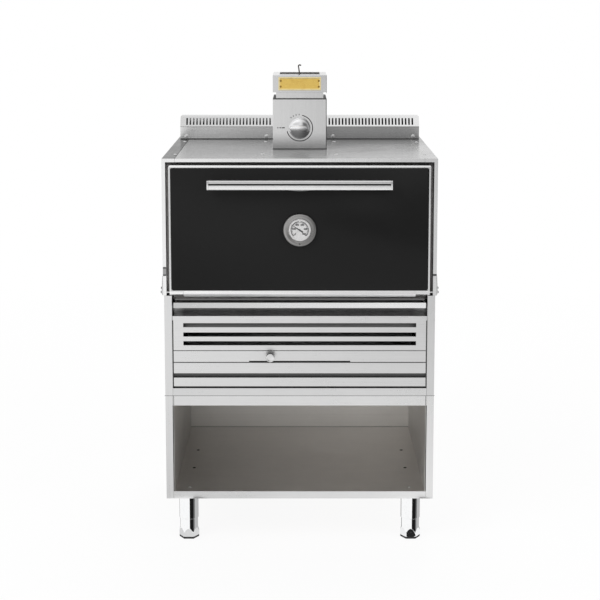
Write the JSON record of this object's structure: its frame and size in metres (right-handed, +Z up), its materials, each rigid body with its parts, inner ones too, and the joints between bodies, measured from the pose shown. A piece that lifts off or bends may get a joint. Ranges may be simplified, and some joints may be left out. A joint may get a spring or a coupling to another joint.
{
  "type": "charcoal oven",
  "caption": "Free-standing steel charcoal oven with a drop-down door, dial thermometer, ash drawer, air slide, crumb tray, flue damper and open cabinet on levelling feet.",
  "frame": {"origin": "on the floor, in the middle of the oven's width and depth", "axes": "+X to the viewer's right, +Y from the front to the back, +Z up"},
  "size_m": [0.9736, 0.94, 1.6983],
  "materials": {
    "cabinet_steel": "brushed stainless sheet, bright and mirror-like inside the shelf",
    "leg_chrome": "polished tube",
    "foot_chrome": "polished sleeve and hexagon",
    "body_steel": "satin stainless sheet",
    "drawer_steel": "satin stainless front",
    "drawer_box_steel": "plain stainless box",
    "air_plate_steel": "plain stainless sheet",
    "air_knob_steel": "turned and polished",
    "tray_steel": "satin stainless with a folded lip",
    "casing_steel": "satin stainless sheet",
    "mouth_steel": "stainless, slightly heat tinted",
    "fire_iron": "matt black iron",
    "insulation_wool": "pressed mineral wool",
    "firebrick": "rough sand-coloured refractory brick",
    "runner_steel": "plain stainless",
    "rack_steel": "bright stainless bars",
    "chimney_steel": "satin stainless sheet",
    "filter_steel": "bright stainless bars and wire",
    "blank_brass": "brushed brass plate with no marks",
    "damper_iron": "matt black flap and shaft",
    "damper_knob_chrome": "polished knob",
    "vent_steel": "satin stainless sheet",
    "door_steel": "bright stainless frame",
    "door_glass": "opaque black glossy front panel",
    "door_skin_steel": "plain stainless sheet",
    "gasket_rope": "braided grey glass-fibre rope",
    "handle_steel": "bright satin stainless",
    "hinge_cover_steel": "bright stainless pressing",
    "thermometer_steel": "circular-brushed bezel and plain probe",
    "dial_enamel": "white dial with a plain black scale and plain figures",
    "needle_black": "black needle",
    "lens_glass": "clear flat lens"
  },
  "bodies": {
    "oven": {"base_side_left": "cabinet_steel", "base_side_right": "cabinet_steel", "base_floor": "cabinet_steel", "base_top_deck": "cabinet_steel", "base_back": "cabinet_steel", "leg_front_left": "leg_chrome", "leg_front_right": "leg_chrome", "leg_rear_left": "leg_chrome", "leg_rear_right": "leg_chrome", "body_side_left": "body_steel", "body_side_right": "body_steel", "body_floor": "body_steel", "body_back": "body_steel", "louvre_panel": "body_steel", "recess_sill": "body_steel", "air_fascia": "body_steel", "air_port_plate": "air_plate_steel", "side_cover_left": "casing_steel", "side_cover_right": "casing_steel", "top_cover": "casing_steel", "mouth_frame": "mouth_steel", "cavity_liner": "fire_iron", "charcoal_grate": "fire_iron", "wool_jacket": "insulation_wool", "firebox": "firebrick", "rack_runner_left": "runner_steel", "rack_runner_right": "runner_steel", "grill_rack_lower": "rack_steel", "grill_rack_upper": "rack_steel", "damper_housing": "chimney_steel", "spark_trap": "chimney_steel", "name_blank": "blank_brass", "rear_vent_left": "vent_steel", "rear_vent_right": "vent_steel", "hinge_cover_left": "hinge_cover_steel", "hinge_cover_right": "hinge_cover_steel"},
    "door": {"door_frame": "door_steel", "door_glass": "door_glass", "door_filling": "insulation_wool", "door_inner_skin": "door_skin_steel", "door_gasket": "gasket_rope", "hinge_leaf_left": "door_steel", "hinge_leaf_right": "door_steel", "door_handle": "handle_steel", "thermometer_case": "thermometer_steel", "thermometer_dial": "dial_enamel", "thermometer_lens": "lens_glass"},
    "needle": {"thermometer_needle": "needle_black"},
    "damper": {"damper_flap": "damper_iron", "damper_knob": "damper_knob_chrome"},
    "air_slide": {"air_shutter": "air_plate_steel", "air_knob": "air_knob_steel"},
    "ash_drawer": {"ash_drawer_front": "drawer_steel", "ash_drawer_box": "drawer_box_steel"},
    "crumb_tray_body": {"crumb_tray": "tray_steel"},
    "filter": {"spark_filter": "filter_steel"},
    "levelling_foot_front_left": {"foot_front_left": "foot_chrome"},
    "levelling_foot_front_right": {"foot_front_right": "foot_chrome"},
    "levelling_foot_rear_left": {"foot_rear_left": "foot_chrome"},
    "levelling_foot_rear_right": {"foot_rear_right": "foot_chrome"}
  },
  "joints": [
    {"name": "door_hinge", "type": "hinge", "parent": "oven", "child": "door", "pos_m": [0, -0.4045, 0.9195], "axis": [1, 0, 0], "range_deg": [0, 90]},
    {"name": "needle_pivot", "type": "hinge", "parent": "door", "child": "needle", "pos_m": [0, -0.4256, 1.1435], "axis": [0, 1, 0], "range_deg": [-77, 193]},
    {"name": "damper_turn", "type": "hinge", "parent": "oven", "child": "damper", "pos_m": [0, -0.0687, 1.4709], "axis": [0, 1, 0], "range_deg": [0, 90]},
    {"name": "air_shutter_slide", "type": "slide", "parent": "oven", "child": "air_slide", "axis": [1, 0, 0], "range_m": [-0.064, 0.272]},
    {"name": "ash_drawer_slide", "type": "slide", "parent": "oven", "child": "ash_drawer", "axis": [0, -1, 0], "range_m": [0, 0.52]},
    {"name": "crumb_tray_slide", "type": "slide", "parent": "oven", "child": "crumb_tray_body", "axis": [0, -1, 0], "range_m": [0, 0.075]},
    {"name": "filter_lift", "type": "slide", "parent": "oven", "child": "filter", "axis": [0, 0, 1], "range_m": [0, 0.06]},
    {"name": "foot_adjust_front_left", "type": "slide", "parent": "oven", "child": "levelling_foot_front_left", "axis": [0, 0, -1], "range_m": [-0.03, 0.04]},
    {"name": "foot_adjust_front_right", "type": "slide", "parent": "oven", "child": "levelling_foot_front_right", "axis": [0, 0, -1], "range_m": [-0.03, 0.04]},
    {"name": "foot_adjust_rear_left", "type": "slide", "parent": "oven", "child": "levelling_foot_rear_left", "axis": [0, 0, -1], "range_m": [-0.03, 0.04]},
    {"name": "foot_adjust_rear_right", "type": "slide", "parent": "oven", "child": "levelling_foot_rear_right", "axis": [0, 0, -1], "range_m": [-0.03, 0.04]}
  ]
}
